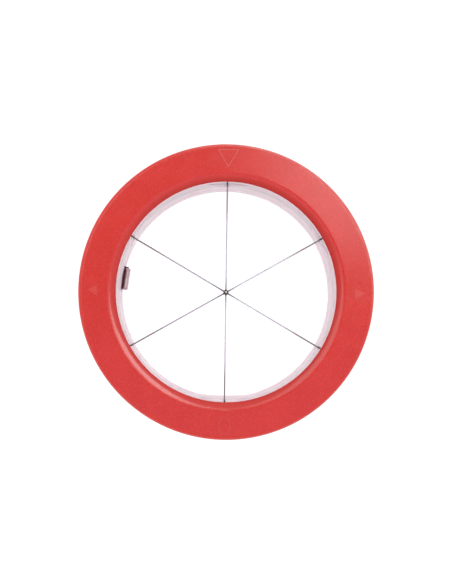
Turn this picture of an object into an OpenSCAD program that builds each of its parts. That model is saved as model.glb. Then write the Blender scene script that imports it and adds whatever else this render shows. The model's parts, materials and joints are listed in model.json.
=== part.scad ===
// Tomato wedger: a blade ring that turn-locks onto a clear sleeve stand.
// A tomato is pushed down through the upward blades and the wedges drop
// through the sleeve. Millimetres, +Z up, origin on the axis at the foot.

/* [Grip ring] */
// Outer radius of the grip ring
grip_radius = 60; // [60:0.5:63]
// Radius of the mouth at the inner lip
mouth_radius = 44.7; // [44.65:0.05:44.85]
// Rounding from the flat top into the mouth
mouth_round = 8; // [7.6:0.1:8.4]
// Slope at which the rounding stops at the lip, in degrees
mouth_slope = 31; // [29:1:33]
// Rounding of the outer top edge
edge_round = 1.5; // [0.8:0.1:2.2]
// Height of the raised position marks
mark_height = 0.2; // [0.1:0.05:0.4]

/* [Blades] */
// Thickness of a blade strip
blade_thickness = 0.5; // [0.35:0.05:0.5]
// Height of a blade strip
blade_height = 10; // [8:0.5:10]
// Height of the ground bevel under the cutting edge
bevel_height = 0.5; // [0.4:0.1:1.2]
// Distance of the flat carrier pads from the axis
pad_distance = 43.8; // [43.5:0.1:44.2]

/* [Stand] */
// Inner radius of the sleeve at its foot
sleeve_foot_radius = 44.05; // [43.9:0.05:44.2]
// Inner radius of the sleeve at its rim
sleeve_rim_radius = 44.6; // [44.4:0.05:44.7]

/* [Catch] */
// Direction of the catch round the axis, in degrees
catch_angle = 172.2; // [166:0.2:175]
// Thickness of the catch strip
catch_sheet = 0.65; // [0.55:0.05:0.65]
// Width of the catch strip
catch_width = 9.2; // [8:0.2:9.2]
// Turn from locked to free, in degrees
lock_turn = 20; // [18:1:20]

/* [Hidden] */
$fn = 96;
eps = 0.01;

red = [0.84, 0.2, 0.19];
red_low = [0.76, 0.17, 0.16];
milky = [0.9, 0.87, 0.89];
clear = [0.86, 0.88, 0.9];
steel = [0.75, 0.75, 0.77];
brass = [0.8, 0.62, 0.3];
soft = [0.8, 0.78, 0.78];
maroon = [0.28, 0.06, 0.07];

// grip ring levels
top_z = 56 - mark_height;
lip_z = 45;
round_x = mouth_radius + mouth_round * sin(mouth_slope);
round_z = top_z - mouth_round;
edge_z = round_z + mouth_round * cos(mouth_slope);
under_z = edge_z - 0.6;
skirt_in = mouth_radius + 1.4;
skirt_z = 42;
deck_z = 53.2;
hollow_in = mouth_radius + 2.85;
hollow_out = grip_radius - 2.4;

// collar
collar_z = 21;
ledge_z = 31;
seat_z = 33.75;
flange_lo = 42.4;
flange_hi = 44.8;
flange_r = hollow_out - 0.3;
collar_out = 52.9;
collar_bore = 51.2;
channel_bore = 50.6;
ledge_bore = 47.2;
screw_r = hollow_out - 2.4;
lock_at = [30, 120, 210, 300];

// carrier and blades
carrier_lo = 33.8;
carrier_hi = 44.9;
carrier_in = 44.6;
carrier_out = 51;
wall_lo = 44.65;
wall_hi = 44.72;
wall_out = 46;
wall_z = under_z - 0.12;
blade_hi = 44.6;
blade_lo = blade_hi - blade_height;
anchor_r = 48.3;
pin_r = 1.25;
eye_in = pin_r + 0.02;
eye_out = eye_in + blade_thickness;
eye_height = blade_height - 1.4;
hub_r = 1.05;
hub_core = 0.75;

// stand
sleeve_out = 46.6;
sleeve_lo = 1.2;
rim_z = 33.2;
gate_y = 43.36;
gate_bow = 109;
slot_lo = 2.8;
slot_hi = 5.1;

// catch
pivot_r = 51;
pivot_z = 14;
pivot_pin = 1;
knuckle_in = pivot_pin + 0.05;
knuckle_out = knuckle_in + catch_sheet;
arm_r = pivot_r - knuckle_out;
arm_top = 30;
arm_low = 4;
tongue_r = 51.9;
tongue_w = 6;
tab_r = 41.5;
tab_z = 12;
tab_fold = 2;

// ---- small helpers -------------------------------------------------

// what is cut away to round a corner at (x, y); sx and sy point out of it
module corner(x, y, r, sx, sy) {
    translate([x, y]) scale([1, 1]) difference() {
        translate([sx > 0 ? -r : -0.5, sy > 0 ? -r : -0.5]) square(r + 0.5);
        translate([-sx * r, -sy * r]) circle(r);
    }
}

// a wedge of a ring, centred on an angle
module arc_block(r0, r1, z0, z1, mid, half) {
    rotate([0, 0, mid - half]) rotate_extrude(angle = 2 * half)
        translate([r0, z0]) square([r1 - r0, z1 - z0]);
}

// a flat section drawn as (radius, height), given a width across the radius
module across(width) {
    rotate([90, 0, 0]) translate([0, 0, -width / 2]) linear_extrude(height = width) children();
}

module six(start) {
    for (k = [0:5]) rotate([0, 0, start + 60 * k]) children();
}

// ---- cutting ring ---------------------------------------------------

module grip_section() {
    difference() {
        union() {
            // thin lip over the wall of the carrier, skirt behind that wall
            polygon([[mouth_radius, top_z], [mouth_radius, edge_z - 0.15],
                     [mouth_radius + 0.12, under_z], [skirt_in, under_z],
                     [skirt_in, lip_z], [grip_radius, lip_z], [grip_radius, top_z]]);
            translate([hollow_out, skirt_z]) square([grip_radius - hollow_out, top_z - skirt_z]);
        }
        translate([hollow_in, skirt_z - 1]) square([hollow_out - hollow_in, deck_z - skirt_z + 1]);
        corner(grip_radius, top_z, edge_round, 1, 1);
        difference() {
            translate([mouth_radius - 1.5, edge_z - 0.4]) square([round_x - mouth_radius + 1.5, top_z - edge_z + 1]);
            translate([round_x, round_z]) circle(mouth_round);
        }
        corner(grip_radius, skirt_z, 1, 1, -1);
    }
}

module mark_arrow(x0, x1, half) {
    polygon([[x0, -half], [x1, 0], [x0, half]]);
}

module marks() {
    // large outlined triangle at the front, pointing at the axis
    translate([0, 0, top_z - 0.3]) linear_extrude(height = 0.3 + mark_height) difference() {
        polygon([[-4.2, 57.8], [4.6, 57.8], [0.2, 50.5]]);
        polygon([[-3.57, 57.45], [3.97, 57.45], [0.2, 51.2]]);
    }
    // two small arrowheads at the sides, pointing outwards
    translate([0, 0, top_z - 0.3]) linear_extrude(height = 0.3 + mark_height) {
        mark_arrow(52.1, 56.5, 2.3);
        mirror([1, 0]) mark_arrow(52.1, 56.5, 2.3);
    }
    // bare oval frame opposite the large triangle
    translate([0, -54.2, top_z - 0.3]) linear_extrude(height = 0.3 + mark_height) difference() {
        union() {
            translate([0, 0.95]) circle(2.4);
            translate([0, -0.95]) circle(2.4);
            square([4.8, 1.9], center = true);
        }
        union() {
            translate([0, 0.95]) circle(2);
            translate([0, -0.95]) circle(2);
            square([4, 1.9], center = true);
        }
    }
    // small raised triangle that follows the rounding of the mouth
    intersection() {
        translate([0, 0, edge_z - 0.2]) linear_extrude(height = 20)
            polygon([[0, -45.8], [-1.5, -48.3], [1.5, -48.3]]);
        rotate_extrude() translate([round_x, round_z])
            difference() {
                circle(mouth_round + mark_height);
                circle(mouth_round - 0.4);
            }
    }
}

module grip_ring() color(red) difference() {
    union() {
        rotate_extrude() grip_section();
        // screw bosses
        six(0) translate([screw_r, 0, flange_hi + 0.05]) cylinder(r = 3, h = deck_z - flange_hi + 0.2);
        // stiffening ribs over the pins
        six(30) translate([hollow_in - 0.5, -0.8, lip_z])
            cube([hollow_out - hollow_in + 1, 1.6, deck_z - lip_z + 0.3]);
        // guides for the carrier keys
        for (a = [0, 180]) rotate([0, 0, a]) for (s = [-1, 1])
            translate([hollow_in - 0.5, s * 3.4 - 0.7, lip_z + 0.2])
                cube([5, 1.4, deck_z - lip_z]);
        marks();
    }
    six(0) translate([screw_r, 0, flange_hi]) {
        translate([0, 0, -0.5]) cylinder(r = 1.92, h = 5.9);
        cylinder(r = 1.5, h = 6.6);
    }
}

module lock_collar() color(red_low) difference() {
    union() {
        rotate_extrude() difference() {
            union() {
                translate([channel_bore, collar_z]) square([collar_out - channel_bore, ledge_z - collar_z + 1]);
                translate([ledge_bore, ledge_z]) square([collar_out - ledge_bore, seat_z - ledge_z]);
                translate([collar_bore, ledge_z + 1]) square([collar_out - collar_bore, flange_hi - ledge_z - 1]);
                translate([collar_bore, flange_lo]) square([flange_r - collar_bore, flange_hi - flange_lo]);
            }
            corner(collar_out, collar_z, 0.8, 1, -1);
            corner(channel_bore, collar_z, 0.8, -1, -1);
        }
        // lugs that pass under the lugs of the sleeve
        for (a = lock_at) arc_block(46.9, channel_bore + 0.4, 22.2, 25.2, a, 8);
        // gussets under the flange
        six(30) across(1.8)
            polygon([[collar_out - 0.5, 36], [collar_out, 36], [flange_r - 0.4, flange_lo], [flange_r - 0.4, flange_lo + 0.3], [collar_out - 0.5, flange_lo + 0.3]]);
    }
    // window in which the nose of the catch travels
    arc_block(channel_bore - 1, collar_out + 1, 28.3, 30.8, catch_angle - lock_turn / 2, lock_turn / 2 + 3.9);
    six(0) translate([screw_r, 0, flange_lo - 1]) cylinder(r = 1.45, h = 5);
}

module blade_carrier() color(milky) difference() {
    union() {
        // ring with a flat pad where each blade goes in
        translate([0, 0, carrier_lo]) linear_extrude(height = carrier_hi - carrier_lo) difference() {
            circle(carrier_out);
            intersection() {
                circle(carrier_in);
                circle(pad_distance / cos(30), $fn = 6);
            }
        }
        // wall that lines the mouth up to the lip
        rotate_extrude() polygon([[wall_lo, carrier_hi - 0.5], [wall_out, carrier_hi - 0.5], [wall_out, wall_z], [wall_hi, wall_z]]);
        // keys that stop the carrier turning in the ring
        for (a = [0, 180]) rotate([0, 0, a]) translate([48.2, -2.5, carrier_hi - 0.5]) cube([2.2, 5, 4.5]);
    }
    six(30) {
        translate([42, -(blade_thickness + 0.12) / 2, blade_lo - 0.3]) cube([6, blade_thickness + 0.12, 20]);
        translate([anchor_r, 0, blade_lo - 0.3]) cylinder(r = eye_out + 0.18, h = 20);
    }
}

module blade(turn) color(steel) rotate([0, 0, turn]) {
    rotate([90, 0, 90]) translate([0, 0, hub_core + 0.04])
        linear_extrude(height = anchor_r - eye_out + 0.15 - hub_core - 0.04)
            polygon([[-blade_thickness / 2, blade_lo], [blade_thickness / 2, blade_lo],
                     [blade_thickness / 2, blade_hi - bevel_height], [0.04, blade_hi],
                     [-0.04, blade_hi], [-blade_thickness / 2, blade_hi - bevel_height]]);
    // rolled eye, open by a hair where the strip end meets its root
    translate([anchor_r, 0, blade_lo]) difference() {
        cylinder(r = eye_out, h = eye_height);
        translate([0, 0, -1]) cylinder(r = eye_in, h = 20);
        rotate([0, 0, 150]) translate([0, -0.12, -1]) cube([3, 0.24, 20]);
    }
}

module blade_1() blade(30);
module blade_2() blade(90);
module blade_3() blade(150);
module blade_4() blade(210);
module blade_5() blade(270);
module blade_6() blade(330);

module hub() color(steel) difference() {
    rotate_extrude() {
        translate([0, blade_lo - 0.7]) square([hub_r, blade_height + 0.3]);
        // low dome over the blade ends
        intersection() {
            translate([0, blade_hi - 0.5]) square([hub_r, 2]);
            translate([0, blade_hi + 0.3 - 1.7]) circle(1.7);
        }
    }
    six(30) translate([hub_core, -(blade_thickness + 0.04) / 2, blade_lo - 0.05])
        cube([2, blade_thickness + 0.04, 20]);
}

module blade_anchor_pins() color(steel)
    six(30) translate([anchor_r, 0, blade_lo - 0.2]) {
        cylinder(r = pin_r, h = eye_height + 0.8);
        translate([0, 0, eye_height + 0.8 - eps]) cylinder(r1 = pin_r, r2 = pin_r - 0.3, h = 0.3);
    }

module thread_inserts() color(brass)
    six(0) translate([screw_r, 0, flange_hi + 0.2]) difference() {
        union() {
            cylinder(r = 1.9, h = 1.9);
            translate([0, 0, 1.5]) cylinder(r = 1.7, h = 2.2);
            translate([0, 0, 3.1]) cylinder(r = 1.9, h = 1.9);
        }
        translate([0, 0, -1]) cylinder(r = 1.27, h = 10);
    }

module clamp_screws() color(steel)
    six(0) translate([screw_r, 0, flange_lo]) difference() {
        union() {
            translate([0, 0, -1.6]) cylinder(r = 2.15, h = 1.6);
            translate([0, 0, -0.3]) cylinder(r = 1.25, h = 7.2);
        }
        translate([0, 0, -2.6]) cylinder(r = 1.15, h = 2, $fn = 6);
    }

// ---- stand -----------------------------------------------------------

module sleeve() color(clear) difference() {
    union() {
        rotate_extrude() difference() {
            polygon([[sleeve_foot_radius, sleeve_lo], [sleeve_out, sleeve_lo], [sleeve_out, rim_z], [sleeve_rim_radius, rim_z]]);
            // groove for the foot, groove for the gasket
            translate([44.9, sleeve_lo - 1]) square([0.8, 2.2]);
            translate([45.2, rim_z - 1.2]) square([0.8, 3]);
            corner(sleeve_out, rim_z, 0.3, 1, 1);
        }
        // shallow flat that runs up the inside, opposite the large triangle
        difference() {
            intersection() {
                translate([-14, -46, sleeve_lo]) cube([28, 8, rim_z - sleeve_lo]);
                cylinder(r = 44.8, h = 40);
            }
            translate([0, gate_bow - gate_y, sleeve_lo])
                cylinder(r1 = gate_bow, r2 = gate_bow + sleeve_rim_radius - sleeve_foot_radius, h = rim_z - sleeve_lo);
        }
        // turn-lock lugs
        for (a = lock_at) arc_block(sleeve_out - 0.4, 50.2, 25.5, 28.5, a, 8);
        // ears for the catch pin
        rotate([0, 0, catch_angle]) for (s = [-1, 1]) translate([0, s * 6.1, 0]) across(2) {
            translate([pivot_r, pivot_z]) circle(2.2);
            translate([45.5, pivot_z - 2.2]) square([pivot_r - 45.5, 4.4]);
        }
    }
    rotate([0, 0, catch_angle]) {
        // slot and finger recess for the tab
        translate([40, -5.1, slot_lo]) cube([8, 10.2, slot_hi - slot_lo]);
        translate([40, -5.5, slot_lo]) cube([5, 10.5, 10.7]);
        across(30) translate([pivot_r, pivot_z]) circle(pivot_pin + 0.01);
    }
}

module rim_gasket() color(soft) rotate_extrude() difference() {
    translate([45.25, rim_z - 1.15]) square([0.7, 1.45]);
    corner(45.25, rim_z + 0.3, 0.2, -1, 1);
    corner(45.95, rim_z + 0.3, 0.2, 1, 1);
}

module foot_ring() color(soft) rotate_extrude() difference() {
    union() {
        translate([sleeve_foot_radius + 0.05, 0]) square([47.2 - sleeve_foot_radius - 0.05, 1.15]);
        translate([44.95, 1]) square([0.7, 1.35]);
        translate([46.65, 1]) square([0.55, 1.3]);
    }
    corner(47.2, 0, 0.5, 1, -1);
    corner(47.2, 2.3, 0.3, 1, 1);
}

module catch_pin() color(steel) rotate([0, 0, catch_angle]) translate([pivot_r, 7.3, pivot_z]) rotate([90, 0, 0]) {
    cylinder(r = pivot_pin, h = 14.4);
    translate([0, 0, -0.3]) cylinder(r = 1.5, h = 0.45);
}

module catch_spring() color(steel) rotate([0, 0, catch_angle]) translate([pivot_r, 0, pivot_z]) {
    // close-wound turns
    rotate([90, 0, 0]) rotate_extrude() {
        translate([1.2, -1.2]) square([0.3, 2.4]);
        for (k = [-2:2]) translate([1.3, k * 0.5 - 0.2]) square([0.35, 0.4]);
    }
    // long leg on the sleeve wall, short leg beside the lower arm
    translate([0, 1, 1.4]) rotate([0, -90, 0]) cylinder(r = 0.18, h = 4.1);
    translate([0.1, -1, -1.3]) rotate([0, 180, 0]) cylinder(r = 0.18, h = 1.3);
}

// ---- catch -----------------------------------------------------------

module lever_strip() {
    difference() {
        union() {
            translate([arm_r, arm_low]) square([catch_sheet, arm_top - 2 - arm_low]);
            translate([tab_r, arm_low]) square([arm_r + catch_sheet - tab_r, catch_sheet]);
            translate([tab_r, arm_low]) square([catch_sheet, tab_z - tab_fold / 2 - arm_low]);
            translate([tab_r, tab_z - 4.2]) square([tab_fold, 4.2 - tab_fold / 2]);
            translate([tab_r + tab_fold / 2, tab_z - tab_fold / 2]) circle(tab_fold / 2);
            // fillets inside the two bends
            difference() {
                translate([tab_r + catch_sheet - eps, arm_low + catch_sheet - eps]) square(0.5);
                translate([tab_r + catch_sheet + 0.5, arm_low + catch_sheet + 0.5]) circle(0.5);
            }
            difference() {
                translate([arm_r - 0.5 + eps, arm_low + catch_sheet - eps]) square(0.5);
                translate([arm_r - 0.5, arm_low + catch_sheet + 0.5]) circle(0.5);
            }
        }
        corner(tab_r, arm_low, 1.1, -1, -1);
        corner(arm_r + catch_sheet, arm_low, 1.1, 1, -1);
        // open inside of the fold
        translate([tab_r + catch_sheet, tab_z - 5.2]) square([tab_fold - 2 * catch_sheet, 5.2 - tab_fold / 2]);
        translate([tab_r + tab_fold / 2, tab_z - tab_fold / 2]) circle(tab_fold / 2 - catch_sheet);
    }
}

module lever_nose() {
    difference() {
        union() {
            translate([arm_r, arm_top - 3]) square([catch_sheet, 3]);
            translate([arm_r, arm_top - catch_sheet]) square([tongue_r - arm_r, catch_sheet]);
        }
        corner(arm_r, arm_top, 0.9, -1, 1);
    }
}

module catch_lever() color(steel) rotate([0, 0, catch_angle]) {
    difference() {
        across(catch_width) lever_strip();
        // window for the spring
        translate([arm_r - 1, -2.1, pivot_z - 2.1]) cube([3, 4.2, 4.2]);
        // rounded tab corners
        for (s = [-1, 1]) translate([tab_r - 1, s * (catch_width / 2 - 1.2), tab_z - 1.2])
            rotate([90, 0, 90]) linear_extrude(height = 4) difference() {
                translate([s > 0 ? 0 : -2, 0]) square(2);
                circle(1.2);
            }
        // rounded upright edges of the tab
        for (s = [-1, 1]) translate([0, 0, arm_low - 1]) linear_extrude(height = 12)
            corner(tab_r, s * catch_width / 2, 0.6, -1, s);
    }
    across(tongue_w) lever_nose();
    for (s = [-1, 1]) translate([0, s * (catch_width / 4 + 1.05), 0]) across(catch_width / 2 - 2.1)
        translate([pivot_r, pivot_z]) difference() {
            circle(knuckle_out);
            circle(knuckle_in);
        }
}

module tab_bumper() color(maroon) rotate([0, 0, catch_angle])
    translate([tab_r + tab_fold + 0.02, 0, 0]) difference() {
        union() {
            translate([0, -catch_width / 2 + 0.2, tab_z - 3.8]) cube([0.52, catch_width - 0.4, 3.6]);
            // turned round one end of the tab
            translate([0, -catch_width / 2 - 0.5, tab_z - 3.8]) cube([0.52, 1, 2.55]);
            translate([-1.2, -catch_width / 2 - 0.5, tab_z - 3.8]) cube([1.72, 0.48, 2.55]);
        }
        for (s = [-1, 1]) translate([-1, s * (catch_width / 2 - 1.2), tab_z - 1.2])
            rotate([90, 0, 90]) linear_extrude(height = 4) difference() {
                translate([s > 0 ? 0 : -2, 0]) square(2);
                circle(1);
            }
    }

grip_ring();
lock_collar();
blade_carrier();
blade_1();
blade_2();
blade_3();
blade_4();
blade_5();
blade_6();
hub();
blade_anchor_pins();
thread_inserts();
clamp_screws();
sleeve();
rim_gasket();
foot_ring();
catch_lever();
tab_bumper();
catch_pin();
catch_spring();
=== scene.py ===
import json
import math

import bmesh
import bpy
from mathutils import Matrix, Vector


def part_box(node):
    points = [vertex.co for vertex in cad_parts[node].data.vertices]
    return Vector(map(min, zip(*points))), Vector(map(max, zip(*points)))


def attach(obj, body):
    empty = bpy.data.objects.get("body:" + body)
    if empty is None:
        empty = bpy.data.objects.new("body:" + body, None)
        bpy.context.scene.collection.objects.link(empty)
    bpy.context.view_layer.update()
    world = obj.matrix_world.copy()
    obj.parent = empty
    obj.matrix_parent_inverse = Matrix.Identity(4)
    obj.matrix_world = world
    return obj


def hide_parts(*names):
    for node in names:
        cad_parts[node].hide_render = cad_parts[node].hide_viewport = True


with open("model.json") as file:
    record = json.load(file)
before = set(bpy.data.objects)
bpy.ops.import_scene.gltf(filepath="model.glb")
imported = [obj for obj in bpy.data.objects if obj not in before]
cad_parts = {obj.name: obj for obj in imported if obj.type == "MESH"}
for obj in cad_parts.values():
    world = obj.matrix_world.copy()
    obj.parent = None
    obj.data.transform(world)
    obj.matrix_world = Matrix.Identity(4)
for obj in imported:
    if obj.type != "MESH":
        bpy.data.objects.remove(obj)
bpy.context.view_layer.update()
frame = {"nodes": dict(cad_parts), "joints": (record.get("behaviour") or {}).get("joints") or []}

NODES = frame["nodes"]
MM = 0.001


# ---------------------------------------------------------------- materials

class Finish:
    """One Principled material whose colour, roughness and relief come from nodes."""

    def __init__(self, name, **plain):
        self.mat = bpy.data.materials.new(name)
        self.mat.use_nodes = True
        self.tree = self.mat.node_tree
        self.tree.nodes.clear()
        self.out = self.add("ShaderNodeOutputMaterial")
        self.bsdf = self.add("ShaderNodeBsdfPrincipled")
        self.wire(self.bsdf.outputs[0], self.out.inputs["Surface"])
        self.place = self.add("ShaderNodeTexCoord").outputs["Object"]
        for key, value in plain.items():
            self.bsdf.inputs[key.replace("_", " ")].default_value = value
        self.relief = None

    def add(self, kind):
        return self.tree.nodes.new(kind)

    def wire(self, a, b):
        self.tree.links.new(a, b)

    def set(self, socket, value):
        if isinstance(value, bpy.types.NodeSocket):
            self.wire(value, socket)
        else:
            socket.default_value = value

    def math(self, op, a, b=0.0, c=0.0, clamp=False):
        n = self.add("ShaderNodeMath")
        n.operation = op
        n.use_clamp = clamp
        for socket, value in zip(n.inputs, (a, b, c)):
            self.set(socket, value)
        return n.outputs[0]

    def stretch(self, sx, sy, sz, vector=None):
        n = self.add("ShaderNodeMapping")
        n.inputs["Scale"].default_value = (sx, sy, sz)
        self.wire(vector or self.place, n.inputs["Vector"])
        return n.outputs[0]

    def turned(self, degrees):
        n = self.add("ShaderNodeMapping")
        n.vector_type = "TEXTURE"
        n.inputs["Rotation"].default_value = (0, 0, math.radians(degrees))
        self.wire(self.place, n.inputs["Vector"])
        return n.outputs[0]

    def axis(self, which, vector=None):
        n = self.add("ShaderNodeSeparateXYZ")
        self.wire(vector or self.place, n.inputs[0])
        return n.outputs["XYZ".index(which)]

    def radius(self):
        x, y = self.axis("X"), self.axis("Y")
        return self.math("SQRT", self.math("ADD", self.math("MULTIPLY", x, x), self.math("MULTIPLY", y, y)))

    def noise(self, scale, detail=3.0, rough=0.55, vector=None, distortion=0.0):
        n = self.add("ShaderNodeTexNoise")
        self.wire(vector or self.place, n.inputs["Vector"])
        n.inputs["Scale"].default_value = scale
        n.inputs["Detail"].default_value = detail
        n.inputs["Roughness"].default_value = rough
        n.inputs["Distortion"].default_value = distortion
        return n.outputs[0]

    def cells(self, scale, vector=None):
        n = self.add("ShaderNodeTexVoronoi")
        self.wire(vector or self.place, n.inputs["Vector"])
        n.inputs["Scale"].default_value = scale
        return n.outputs["Distance"]

    def span(self, value, lo, hi, out_lo=0.0, out_hi=1.0):
        n = self.add("ShaderNodeMapRange")
        n.interpolation_type = "SMOOTHSTEP"
        for key, v in (("Value", value), ("From Min", lo), ("From Max", hi), ("To Min", out_lo), ("To Max", out_hi)):
            self.set(n.inputs[key], v)
        return n.outputs[0]

    def blend(self, factor, a, b):
        n = self.add("ShaderNodeMix")
        n.data_type = "RGBA"
        self.set(n.inputs[0], factor)
        for socket, value in ((n.inputs[6], a), (n.inputs[7], b)):
            if isinstance(value, tuple):
                value = (*value[:3], 1.0)
            self.set(socket, value)
        return n.outputs[2]

    def bump(self, height, strength, depth_mm):
        n = self.add("ShaderNodeBump")
        n.inputs["Strength"].default_value = strength
        n.inputs["Distance"].default_value = depth_mm * MM
        self.wire(height, n.inputs["Height"])
        if self.relief is not None:
            self.wire(self.relief, n.inputs["Normal"])
        self.relief = n.outputs[0]
        self.set(self.bsdf.inputs["Normal"], self.relief)

    def colour(self, socket):
        self.set(self.bsdf.inputs["Base Color"], socket)

    def rough(self, socket):
        self.set(self.bsdf.inputs["Roughness"], socket)


def moulded_red(name, light, dark, worn, rough_lo, rough_hi, marks):
    f = Finish(name, IOR=1.5)
    cloud = f.noise(95.0, 4.0, 0.6)
    fine = f.noise(2600.0, 2.0, 0.6)
    speck = f.span(f.noise(1500.0, 3.0, 0.7), 0.56, 0.74)
    tone = f.math("ADD", f.math("MULTIPLY", cloud, 0.65), f.math("MULTIPLY", fine, 0.35))
    body = f.blend(f.span(tone, 0.36, 0.64), dark, light)
    body = f.blend(f.math("MULTIPLY", speck, 0.10), body, worn)
    # mould grain: pits a little deeper in colour, crests a little paler
    pits = f.noise(1750.0, 2.0, 0.6)
    body = f.blend(f.span(pits, 0.50, 0.30, 0.0, 0.16), body, tuple(c * 0.55 for c in dark))
    body = f.blend(f.span(pits, 0.50, 0.70, 0.0, 0.13), body, worn)
    # thin scuffs from washing and stacking
    scuff = f.span(f.noise(70.0, 5.0, 0.72, f.stretch(1, 9, 1, f.turned(33))), 0.66, 0.78)
    scuff2 = f.span(f.noise(85.0, 5.0, 0.7, f.stretch(10, 1, 1, f.turned(-12))), 0.67, 0.78)
    scuffs = f.math("MAXIMUM", scuff, scuff2)
    body = f.blend(f.math("MULTIPLY", scuffs, 0.10), body, worn)
    rough = f.span(f.noise(160.0, 4.0, 0.6), 0.3, 0.7, rough_lo, rough_hi)
    if marks:
        # the raised marks are rubbed paler than the deck, the thin outlines most
        raised = f.span(f.axis("Z"), 55.84 * MM, 55.96 * MM)
        thin = f.math("MAXIMUM", f.span(f.axis("Y"), 48 * MM, 49 * MM), f.span(f.axis("Y"), -48 * MM, -49 * MM, 0.0, 0.2))
        rub = f.math("MULTIPLY", raised, f.math("ADD", 0.11, f.math("MULTIPLY", thin, 0.35)))
        body = f.blend(rub, body, worn)
        rough = f.math("ADD", rough, f.math("MULTIPLY", raised, 0.05))
        # painted shade: the colour deepened over the rolled lip, most at its edge and on the upper right side, which
        # faces away from the key light
        edge = f.span(f.radius(), 48.6 * MM, 44.8 * MM)
        lean = f.math("DIVIDE", f.math("ADD", f.math("MULTIPLY", f.axis("X"), 0.616), f.math("MULTIPLY", f.axis("Y"), 0.788)), f.radius())
        edge = f.math("MULTIPLY", edge, f.math("ADD", 0.30, f.math("MULTIPLY", lean, 0.14)))
        body = f.blend(edge, body, tuple(c * 0.35 for c in dark))
        # painted highlight along the deck's outer edge, most to the upper right where the key light catches it, broken
        # up by noise
        rim = f.math("MULTIPLY", f.span(f.radius(), 58.90 * MM, 59.05 * MM), f.span(f.radius(), 59.80 * MM, 59.6 * MM))
        rim = f.math("MULTIPLY", rim, f.span(f.axis("Z"), 54 * MM, 54.6 * MM))
        rim_highlight_breakup = f.span(f.noise(240.0, 4.0, 0.65), 0.30, 0.66, 0.55, 1.0)
        rim = f.math("MULTIPLY", f.math("MULTIPLY", rim, rim_highlight_breakup), f.span(lean, 0.35, 0.95, 0.05, 0.85))
        body = f.blend(rim, body, worn)
    f.colour(body)
    f.rough(f.math("ADD", rough, f.math("MULTIPLY", scuffs, 0.07)))
    # spark-eroded mould grain over a very shallow waviness
    f.bump(f.noise(55.0, 2.0, 0.5), 0.30, 0.05)
    f.bump(f.noise(1250.0, 2.0, 0.55), 0.80, 0.020)
    f.bump(f.noise(3600.0, 2.0, 0.6), 0.35, 0.004)
    return f.mat


def milky(name, tint, deep, transmission, scatter, rough_lo, rough_hi, rings=(), depth=0.006, slots=False):
    f = Finish(name, IOR=1.49, Transmission_Weight=transmission, Subsurface_Weight=scatter,
               Subsurface_Radius=(1.0, 0.80, 0.88), Subsurface_Scale=depth,
               Specular_IOR_Level=0.15)
    haze = f.noise(120.0, 4.0, 0.6)
    flow = f.noise(40.0, 3.0, 0.6, f.stretch(1, 1, 0.5))
    body = f.blend(f.span(f.math("ADD", f.math("MULTIPLY", haze, 0.5), f.math("MULTIPLY", flow, 0.5)), 0.35, 0.65), deep, tint)
    if rings:
        # faint bands up the inside: a darker band low down, painted light in the middle band where the wall gets little
        # light, and painted shade in the band just under the lip
        z = f.axis("Z")
        inside = f.span(f.radius(), 45.3 * MM, 45.0 * MM)
        patch = f.span(f.noise(60.0, 3.0, 0.6), 0.35, 0.62, 0.55, 1.0)
        for low, high, soft_edge, amount, shade in rings:
            band = f.math("MULTIPLY", f.span(z, (low - soft_edge) * MM, low * MM), f.span(z, (high + soft_edge) * MM, high * MM))
            band = f.math("MULTIPLY", f.math("MULTIPLY", band, inside), f.math("MULTIPLY", patch, amount))
            body = f.blend(band, body, shade)
        # painted shade: the inside wall a little deeper in colour down the near side
        near_side_painted_shade = f.math("MULTIPLY", inside, f.span(f.axis("Y"), -30 * MM, -42 * MM))
        body = f.blend(f.math("MULTIPLY", near_side_painted_shade, 0.55), body, (0.78, 0.60, 0.66))
        if slots:
            # painted light: whiter round the six slots, lifting the shade that the blades in them leave on the wall
            turn = f.math("ARCTAN2", f.axis("Y"), f.axis("X"))
            slot_painted_light = f.span(f.math("COSINE", f.math("MULTIPLY", turn, 6.0)), -0.50, -0.95)
            body = f.blend(f.math("MULTIPLY", f.math("MULTIPLY", slot_painted_light, inside), 0.60), body, (1.0, 0.87, 0.905))
    f.colour(body)
    rub = f.span(f.noise(300.0, 6.0, 0.75), 0.60, 0.76)
    f.rough(f.math("ADD", f.span(f.noise(210.0, 4.0, 0.6), 0.3, 0.7, rough_lo, rough_hi), f.math("MULTIPLY", rub, 0.05)))
    f.bump(f.noise(45.0, 2.0, 0.5), 0.12, 0.03)
    f.bump(f.noise(2400.0, 2.0, 0.5), 0.10, 0.006)
    return f.mat


def soft(name, light, dark, transmission, rough_lo, rough_hi):
    f = Finish(name, IOR=1.45, Transmission_Weight=transmission)
    grain = f.noise(1900.0, 3.0, 0.65)
    cloud = f.noise(140.0, 4.0, 0.6)
    dust = f.span(f.noise(700.0, 5.0, 0.75), 0.60, 0.78)
    body = f.blend(f.span(cloud, 0.34, 0.66), dark, light)
    body = f.blend(f.math("MULTIPLY", dust, 0.12), body, tuple(min(1.0, c * 1.6 + 0.02) for c in light))
    f.colour(body)
    f.rough(f.span(f.math("ADD", f.math("MULTIPLY", grain, 0.5), f.math("MULTIPLY", cloud, 0.5)), 0.35, 0.65, rough_lo, rough_hi))
    f.bump(cloud, 0.25, 0.06)
    f.bump(grain, 0.45, 0.02)
    return f.mat


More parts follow.
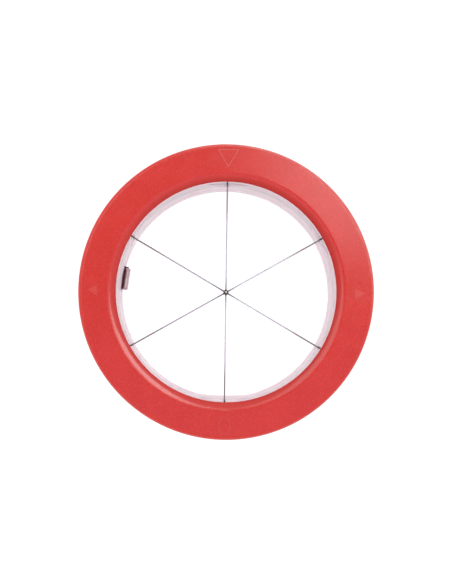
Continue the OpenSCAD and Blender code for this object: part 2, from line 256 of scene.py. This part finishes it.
def steel(name, light, dark, grain, rough_lo, rough_hi, edge=None, turn=0.0, painted_dark_ends=None):
    """Bright steel with a lay of fine lines; grain is the stretch of that lay."""
    f = Finish(name, Metallic=1.0)
    place = f.turned(turn) if turn else None
    lines = f.noise(1.0, 4.0, 0.65, f.stretch(*grain, place))
    coarse = f.noise(1.0, 3.0, 0.6, f.stretch(*(g * 0.22 for g in grain), place))
    stain = f.noise(130.0, 4.0, 0.65)
    tone = f.math("ADD", f.math("MULTIPLY", lines, 0.6), f.math("MULTIPLY", stain, 0.4))
    body = f.blend(f.span(tone, 0.35, 0.65), dark, light)
    rough = f.span(f.math("ADD", f.math("MULTIPLY", lines, 0.5), f.math("MULTIPLY", coarse, 0.5)), 0.32, 0.68, rough_lo, rough_hi)
    height = f.math("ADD", lines, f.math("MULTIPLY", coarse, 0.6))
    if edge:
        start, ground = edge
        zone = f.span(f.axis("Z"), start * MM - 0.00004, start * MM + 0.00004)
        cut = f.noise(1.0, 3.0, 0.6, f.stretch(5200, 5200, 300))
        body = f.blend(zone, body, f.blend(f.span(cut, 0.35, 0.65), tuple(c * 0.9 for c in ground), ground))
        rough = f.math("ADD", f.math("MULTIPLY", rough, f.math("SUBTRACT", 1.0, zone)),
                       f.math("MULTIPLY", zone, f.span(cut, 0.3, 0.7, 0.16, 0.28)))
        height = f.math("ADD", f.math("MULTIPLY", height, f.math("SUBTRACT", 1.0, zone)), f.math("MULTIPLY", zone, cut))
    if painted_dark_ends:
        # painted reflection and shade: the strip darker towards its root and its tip, where it reflects the darker
        # parts round it, nearly black next to the hub
        r = f.radius()
        patch = f.span(f.noise(420.0, 4.0, 0.65), 0.25, 0.75, 0.86, 1.0)
        root_shade, tip_shade = painted_dark_ends
        body = f.blend(f.math("MULTIPLY", f.span(r, 27 * MM, 36 * MM), patch), body, root_shade)
        body = f.blend(f.math("MULTIPLY", f.span(r, 4.6 * MM, 2.5 * MM), patch), body, tip_shade)
        body = f.blend(f.span(r, 2.0 * MM, 1.1 * MM), body, tuple(c * 0.3 for c in root_shade))
    f.colour(body)
    f.rough(rough)
    f.bump(height, 0.28, 0.008)
    return f.mat


def turned_metal(name, light, dark, rough_lo, rough_hi, dark_ring=None):
    f = Finish(name, Metallic=1.0)
    rings = f.noise(1.0, 4.0, 0.6, f.stretch(1800, 1800, 9000))
    stain = f.noise(260.0, 4.0, 0.65)
    body = f.blend(f.span(f.math("ADD", f.math("MULTIPLY", rings, 0.5), f.math("MULTIPLY", stain, 0.5)), 0.36, 0.64), dark, light)
    if dark_ring:
        # darker ring round the bright crown
        body = f.blend(f.span(f.radius(), 0.46 * MM, 0.58 * MM), body, dark_ring)
    f.colour(body)
    f.rough(f.span(stain, 0.3, 0.7, rough_lo, rough_hi))
    f.bump(rings, 0.2, 0.006)
    return f.mat


RED = moulded_red("moulded_red", (0.675, 0.0310, 0.0236), (0.635, 0.0270, 0.0205), (0.74, 0.17, 0.15), 0.13, 0.17, True)
RED_LOW = moulded_red("moulded_red_low", (0.620, 0.0290, 0.0225), (0.575, 0.0250, 0.0195), (0.68, 0.15, 0.13), 0.28, 0.38, False)
# inside bands (low, high, soft edge, amount, colour): a darker band low down, a painted light band in the middle,
# painted shade just under the lip
INSIDE_BANDS_PAINTED_LIGHT_AND_SHADE = ((10.0, 15.0, 2.5, 0.80, (0.82, 0.58, 0.665)), (21.0, 35.0, 3.0, 0.85, (1.0, 0.87, 0.91)), (41.5, 47.0, 2.5, 0.50, (0.82, 0.58, 0.665)))
# the pink in both plastics' colours is painted bounce light from the red mouldings
MILKY = milky("milky_plastic", (0.985, 0.735, 0.795), (0.975, 0.705, 0.77), 0.02, 0.75, 0.30, 0.40, INSIDE_BANDS_PAINTED_LIGHT_AND_SHADE, 0.0022, True)
CLEAR = milky("clear_plastic", (0.985, 0.80, 0.86), (0.975, 0.77, 0.835), 0.12, 0.75, 0.28, 0.38, INSIDE_BANDS_PAINTED_LIGHT_AND_SHADE)
SOFT = soft("soft_clear", (0.83, 0.77, 0.80), (0.77, 0.70, 0.735), 0.15, 0.46, 0.62)
# the near-black maroon of the tab bumper is painted shade, standing in for the shaded gap beside the tab
MAROON = soft("soft_maroon", (0.085, 0.0105, 0.0140), (0.060, 0.0075, 0.0100), 0.0, 0.48, 0.66)
BLADE = steel("blade_steel", (0.66, 0.655, 0.685), (0.56, 0.555, 0.585), (70, 70, 6200), 0.20, 0.34, edge=(44.1, (0.69, 0.78, 0.855)),
              painted_dark_ends=((0.255, 0.205, 0.23), (0.40, 0.375, 0.46)))
BLADE_DULL = steel("blade_steel_dull", (0.56, 0.54, 0.565), (0.47, 0.45, 0.475), (70, 70, 6200), 0.24, 0.38, edge=(44.1, (0.52, 0.55, 0.63)),
                   painted_dark_ends=((0.25, 0.20, 0.225), (0.39, 0.36, 0.44)))
POLISHED = turned_metal("polished_steel", (0.355, 0.335, 0.325), (0.305, 0.288, 0.28), 0.14, 0.24, dark_ring=(0.11, 0.075, 0.078))
# the pink in this steel's colour is a painted reflection of the red parts round it
SHEET = steel("sheet_steel", (0.70, 0.565, 0.57), (0.64, 0.515, 0.52), (900, 5200, 90), 0.48, 0.58, turn=-7.8)
PIN = turned_metal("pin_steel", (0.60, 0.60, 0.62), (0.50, 0.50, 0.52), 0.20, 0.32)
SCREW = turned_metal("screw_steel", (0.62, 0.62, 0.64), (0.50, 0.50, 0.52), 0.24, 0.38)
SPRING = turned_metal("spring_steel", (0.48, 0.48, 0.50), (0.36, 0.36, 0.38), 0.26, 0.40)
BRASS = turned_metal("insert_brass", (0.74, 0.52, 0.22), (0.62, 0.41, 0.16), 0.24, 0.40)

LOOK = {
    "grip_ring": RED, "lock_collar": RED_LOW, "blade_carrier": MILKY, "sleeve": CLEAR,
    "rim_gasket": SOFT, "foot_ring": SOFT, "tab_bumper": MAROON, "hub": POLISHED,
    "catch_lever": SHEET, "catch_pin": PIN, "blade_anchor_pins": PIN, "clamp_screws": SCREW,
    "catch_spring": SPRING, "thread_inserts": BRASS,
}
for k in range(1, 7):
    LOOK[f"blade_{k}"] = BLADE_DULL if k in (3, 4) else BLADE


def paint(obj, mat):
    if not obj.material_slots:
        obj.data.materials.append(mat)
    for s in obj.material_slots:
        s.material = mat


for name, mat in LOOK.items():
    paint(NODES[name], mat)


# ---------------------------------------------------------------- mesh helpers

def finish_mesh(name, bm, mat, body, node=None, smooth=35.0):
    bmesh.ops.recalc_face_normals(bm, faces=bm.faces)
    for v in bm.verts:
        v.co *= MM
    mesh = bpy.data.meshes.new(name)
    bm.to_mesh(mesh)
    bm.free()
    for p in mesh.polygons:
        p.use_smooth = True
    obj = bpy.data.objects.new(name, mesh)
    bpy.context.scene.collection.objects.link(obj)
    mesh.set_sharp_from_angle(angle=math.radians(smooth))
    paint(obj, mat)
    if node:
        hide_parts(node)
    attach(obj, body)
    return obj


def on_round(co, facing, rounds):
    """Exact normal of a turned rounding (radius and height of its centre, size; mm) through a point."""
    r = math.hypot(co.x, co.y) / MM
    for centre, height, size in rounds:
        dr, dz = r - centre, co.z / MM - height
        if abs(math.hypot(dr, dz) - size) < 0.012:
            n = Vector((co.x / MM / r * dr, co.y / MM / r * dr, dz)).normalized()
            if n.dot(facing) > 0.9:
                return n
    return None


def smooth_copy(name, node, body, mat, limit, rounds):
    """Shows a node's shape welded, with exact normals on its rounded edges and
    area-weighted normals across other edges flatter than limit."""
    bm = bmesh.new()
    bm.from_mesh(NODES[node].data)
    bmesh.ops.remove_doubles(bm, verts=bm.verts, dist=0.000002)
    mesh = bpy.data.meshes.new(name)
    bm.to_mesh(mesh)
    bm.free()
    obj = bpy.data.objects.new(name, mesh)
    bpy.context.scene.collection.objects.link(obj)
    around = [[] for _ in mesh.vertices]
    facing, weight = [], []
    for p in mesh.polygons:
        p.use_smooth = True
        facing.append(p.normal.copy())
        weight.append(p.area)
        for v in p.vertices:
            around[v].append(p.index)
    least = math.cos(math.radians(limit))
    corners = []
    for p in mesh.polygons:
        for v in p.vertices:
            exact = on_round(mesh.vertices[v].co, facing[p.index], rounds)
            if exact:
                corners.append(exact)
                continue
            total = Vector()
            for q in around[v]:
                if facing[q].dot(facing[p.index]) > least:
                    total += facing[q] * weight[q]
            corners.append(total.normalized() if total.length > 0 else facing[p.index])
    mesh.normals_split_custom_set([tuple(n) for n in corners])
    paint(obj, mat)
    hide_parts(node)
    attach(obj, body)
    return obj


def loop_strip(bm, loops, close_ends=True):
    """Faces between successive closed rings of vertices, with both ends closed."""
    n = len(loops[0])
    for a, b in zip(loops, loops[1:]):
        for i in range(n):
            j = (i + 1) % n
            bm.faces.new((a[i], a[j], b[j], b[i]))
    if close_ends:
        for ring in (loops[0], loops[-1]):
            c = bm.verts.new(sum((v.co for v in ring), Vector()) / n)
            for i in range(n):
                bm.faces.new((ring[i], ring[(i + 1) % n], c))


def sweep_wire(bm, path, radius, sides=14):
    """A round wire along a path, with rounded ends."""
    up = None
    loops = []
    count = len(path)
    for i, p in enumerate(path):
        t = (path[min(i + 1, count - 1)] - path[max(i - 1, 0)]).normalized()
        if up is None:
            up = t.orthogonal().normalized()
        up = (up - t * up.dot(t)).normalized()
        side = t.cross(up)
        shrink = radius
        if i in (0, count - 1):
            shrink = radius * 0.62
        ring = []
        for k in range(sides):
            a = 2 * math.pi * k / sides
            ring.append(bm.verts.new(p + (up * math.cos(a) + side * math.sin(a)) * shrink))
        loops.append(ring)
    loop_strip(bm, loops)


# ---------------------------------------------------------------- catch spring

press = next(j for j in frame["joints"] if j["name"] == "catch_press")
pivot = Vector(press["pos_m"]) / MM
out_dir = Vector((pivot.x, pivot.y, 0)).normalized()
along = Vector((-out_dir.y, out_dir.x, 0))


def at_catch(x, y, z):
    return pivot + out_dir * x + along * y + Vector((0, 0, z))


COIL_R, WIRE_R, TURNS = 1.43, 0.19, 5
path = [at_catch(x, 1.02, COIL_R) for x in (-4.39, -4.30, -3.4, -2.4, -1.4, -0.6)]
steps = 30
last = TURNS * 2 * math.pi + math.pi
for i in range(TURNS * steps + steps // 2 + 1):
    a = 2 * math.pi * i / steps
    path.append(at_catch(COIL_R * math.sin(a), 1.02 - 2.04 * a / last, COIL_R * math.cos(a)))
for x, z in ((-0.22, -1.50), (-0.36, -1.72), (-0.40, -2.05), (-0.40, -2.7), (-0.40, -3.25), (-0.40, -3.34)):
    path.append(at_catch(x, -1.02, z))
bm = bmesh.new()
sweep_wire(bm, path, WIRE_R)
finish_mesh("torsion_spring", bm, SPRING, "stand", "catch_spring", 60.0)


# ---------------------------------------------------------------- clamp screws

lo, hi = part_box("clamp_screws")
screw_low, screw_high = lo.z / MM, hi.z / MM
screw_ring = hi.x / MM - 2.15


def hex_radius(angle, corner):
    return corner * math.cos(math.pi / 6) / math.cos((angle % (math.pi / 3)) - math.pi / 6)


def screw(bm, centre):
    n = 48
    z0 = screw_low

    def circle(r, z):
        return [bm.verts.new((centre.x + r * math.cos(2 * math.pi * i / n), centre.y + r * math.sin(2 * math.pi * i / n), z)) for i in range(n)]

    def hexagon(r, z):
        ring = []
        for i in range(n):
            a = 2 * math.pi * i / n
            q = hex_radius(a, r)
            ring.append(bm.verts.new((centre.x + q * math.cos(a), centre.y + q * math.sin(a), z)))
        return ring

    loops = [circle(0.62, z0 + 1.12), hexagon(1.13, z0 + 0.98), hexagon(1.13, z0 + 0.10), hexagon(1.22, z0),
             circle(1.75, z0), circle(1.93, z0 + 0.03), circle(2.07, z0 + 0.11), circle(2.135, z0 + 0.24),
             circle(2.15, z0 + 0.40), circle(2.15, z0 + 1.50), circle(2.09, z0 + 1.58), circle(1.40, z0 + 1.60)]
    z = z0 + 1.62
    # rolled thread on the shank
    pitch = 0.45
    while z + pitch < screw_high - 0.5:
        loops += [circle(1.03, z + 0.06), circle(1.24, z + 0.21), circle(1.24, z + 0.26), circle(1.03, z + 0.41)]
        z += pitch
    loops += [circle(1.0, screw_high - 0.3), circle(0.8, screw_high - 0.02)]
    loop_strip(bm, loops)


bm = bmesh.new()
for k in range(6):
    a = math.radians(60 * k)
    screw(bm, Vector((screw_ring * math.cos(a), screw_ring * math.sin(a), 0)))
finish_mesh("cap_screws", bm, SCREW, "cutting_ring", "clamp_screws", 32.0)


# ---------------------------------------------------------------- red mouldings and hub

smooth_copy("ring_moulding", "grip_ring", "cutting_ring", RED, 20.0,
            ((58.5, 54.3, 1.5), (59.0, 43.0, 1.0), (48.82, 47.8, 8.0)))
smooth_copy("collar_moulding", "lock_collar", "cutting_ring", RED_LOW, 20.0,
            ((52.1, 21.8, 0.8), (51.4, 21.8, 0.8)))
smooth_copy("hub_pin", "hub", "cutting_ring", POLISHED, 25.0, ())


# ---------------------------------------------------------------- floor

bm = bmesh.new()
RINGS, SEG = (0.0, 0.25, 0.6, 1.2, 2.4, 4.5), 96
loops = []
for r in RINGS[1:]:
    loops.append([bm.verts.new((r * math.cos(2 * math.pi * i / SEG), r * math.sin(2 * math.pi * i / SEG), 0)) for i in range(SEG)])
mid = bm.verts.new((0, 0, 0))
for i in range(SEG):
    bm.faces.new((mid, loops[0][i], loops[0][(i + 1) % SEG]))
for a, b in zip(loops, loops[1:]):
    for i in range(SEG):
        bm.faces.new((a[i], b[i], b[(i + 1) % SEG], a[(i + 1) % SEG]))
mesh = bpy.data.meshes.new("floor")
bm.to_mesh(mesh)
bm.free()
floor = bpy.data.objects.new("floor", mesh)
floor.location.z = -0.0002
bpy.context.scene.collection.objects.link(floor)
f = Finish("pale_floor", Emission_Color=(1.0, 1.0, 1.0, 1.0), Emission_Strength=0.86)
f.bsdf.inputs["Specular IOR Level"].default_value = 0.1
f.colour(f.blend(f.noise(9.0, 3.0, 0.5), (0.33, 0.33, 0.33), (0.36, 0.36, 0.36)))
f.rough(f.span(f.noise(30.0, 3.0, 0.5), 0.3, 0.7, 0.75, 0.85))
paint(floor, f.mat)


# ---------------------------------------------------------------- light

def softbox(name, place, aim, width, height, radiance, turn=0.0, colour=(1, 1, 1)):
    data = bpy.data.lights.new(name, "AREA")
    data.shape = "RECTANGLE"
    data.size, data.size_y = width, height
    data.energy = radiance * math.pi * width * height
    data.color = colour
    obj = bpy.data.objects.new(name, data)
    bpy.context.scene.collection.objects.link(obj)
    z = (Vector(place) - Vector(aim)).normalized()
    x = Vector((0, 0, 1)).cross(z)
    x = x.normalized() if x.length > 1e-4 else Vector((1, 0, 0))
    y = z.cross(x)
    obj.matrix_world = Matrix.Translation(place) @ Matrix((x, y, z)).transposed().to_4x4() @ Matrix.Rotation(math.radians(turn), 4, "Z")
    obj.visible_camera = False
    return obj


def panel(name, azimuth, distance, length, width, radiance, turn=0.0):
    """Level softbox overhead: its length points away from the axis."""
    a = math.radians(azimuth)
    place = Vector((distance * math.cos(a), distance * math.sin(a), 0.955))
    obj = softbox(name, place, (place.x, place.y, 0), length, width, radiance)
    obj.matrix_world = Matrix.Translation(place) @ Matrix.Rotation(a + math.radians(turn), 4, "Z")


# large soft key from the upper right, hung level
panel("key", 44, 0.405, 0.43, 0.33, 5.4)
# weaker fill from the upper left
panel("fill", 145, 0.45, 0.56, 0.45, 1.6)
# small panel between the key and the camera
panel("overhead", 48.5, 0.165, 0.13, 0.13, 3.3, 45)
# faint cool panel overhead on the near side
veil = Vector((0.0, -0.15, 0.955))
softbox("veil", veil, veil * 0.5, 0.46, 0.26, 0.52, colour=(0.55, 0.66, 1.0))

world = bpy.data.worlds.new("studio")
bpy.context.scene.world = world
world.use_nodes = True
wt = world.node_tree
wt.nodes.clear()
w_out = wt.nodes.new("ShaderNodeOutputWorld")
w_bg = wt.nodes.new("ShaderNodeBackground")
w_co = wt.nodes.new("ShaderNodeTexCoord")
w_sp = wt.nodes.new("ShaderNodeSeparateXYZ")
w_rp = wt.nodes.new("ShaderNodeValToRGB")
w_rp.color_ramp.interpolation = "EASE"
stops = ((0.0, 1.15), (0.20, 1.10), (0.34, 0.78), (0.47, 0.62), (0.60, 0.62), (0.74, 0.72), (0.88, 0.82), (0.95, 0.74), (0.985, 0.40), (1.0, 0.31))
while len(w_rp.color_ramp.elements) < len(stops):
    w_rp.color_ramp.elements.new(0.5)
for e, (pos, v) in zip(w_rp.color_ramp.elements, stops):
    e.position = pos
    e.color = (v, v, v * 1.01, 1)
wt.links.new(w_co.outputs["Generated"], w_sp.inputs[0])
wt.links.new(w_sp.outputs["Z"], w_rp.inputs[0])
wt.links.new(w_rp.outputs[0], w_bg.inputs["Color"])
# the room is brighter towards the upper right, its low part towards the lower left
w_dot = wt.nodes.new("ShaderNodeVectorMath")
w_dot.operation = "DOT_PRODUCT"
w_dot.inputs[1].default_value = (math.cos(math.radians(52)), math.sin(math.radians(52)), 0.0)
w_lean = wt.nodes.new("ShaderNodeMath")
w_lean.operation = "MULTIPLY_ADD"
w_low = wt.nodes.new("ShaderNodeMapRange")
for key, v in (("From Min", 0.28), ("From Max", 0.48), ("To Min", -0.50), ("To Max", 0.40)):
    w_low.inputs[key].default_value = v
wt.links.new(w_sp.outputs["Z"], w_low.inputs["Value"])
wt.links.new(w_low.outputs[0], w_lean.inputs[1])
w_lean.inputs[2].default_value = 1.0
wt.links.new(w_co.outputs["Generated"], w_dot.inputs[0])
wt.links.new(w_dot.outputs["Value"], w_lean.inputs[0])
wt.links.new(w_lean.outputs[0], w_bg.inputs["Strength"])
wt.links.new(w_bg.outputs[0], w_out.inputs["Surface"])

scene = bpy.context.scene
scene.view_settings.view_transform = "Standard"
scene.view_settings.look = "None"
scene.view_settings.exposure = 0.0
scene.view_settings.gamma = 1.0


# ---------------------------------------------------------------- camera

cam_data = bpy.data.cameras.new("camera")
cam = bpy.data.objects.new("camera", cam_data)
scene.collection.objects.link(cam)
eye = Vector((-6.2, -17.2, 963.19)) * MM
look = Vector((-0.022, 0.038, 50.0)) * MM
roll = math.radians(0.8)
ahead = (look - eye).normalized()
right = ahead.cross(Vector((-math.sin(roll), math.cos(roll), 0))).normalized()
above = right.cross(ahead)
cam.matrix_world = Matrix.Translation(eye) @ Matrix((right, above, -ahead)).transposed().to_4x4()
cam_data.sensor_fit = "VERTICAL"
cam_data.sensor_height = 24.0
cam_data.lens = 2242.4 * 24.0 / 584.0
cam_data.clip_start = 0.02
cam_data.clip_end = 30.0
cam_data.dof.use_dof = False
scene.camera = cam
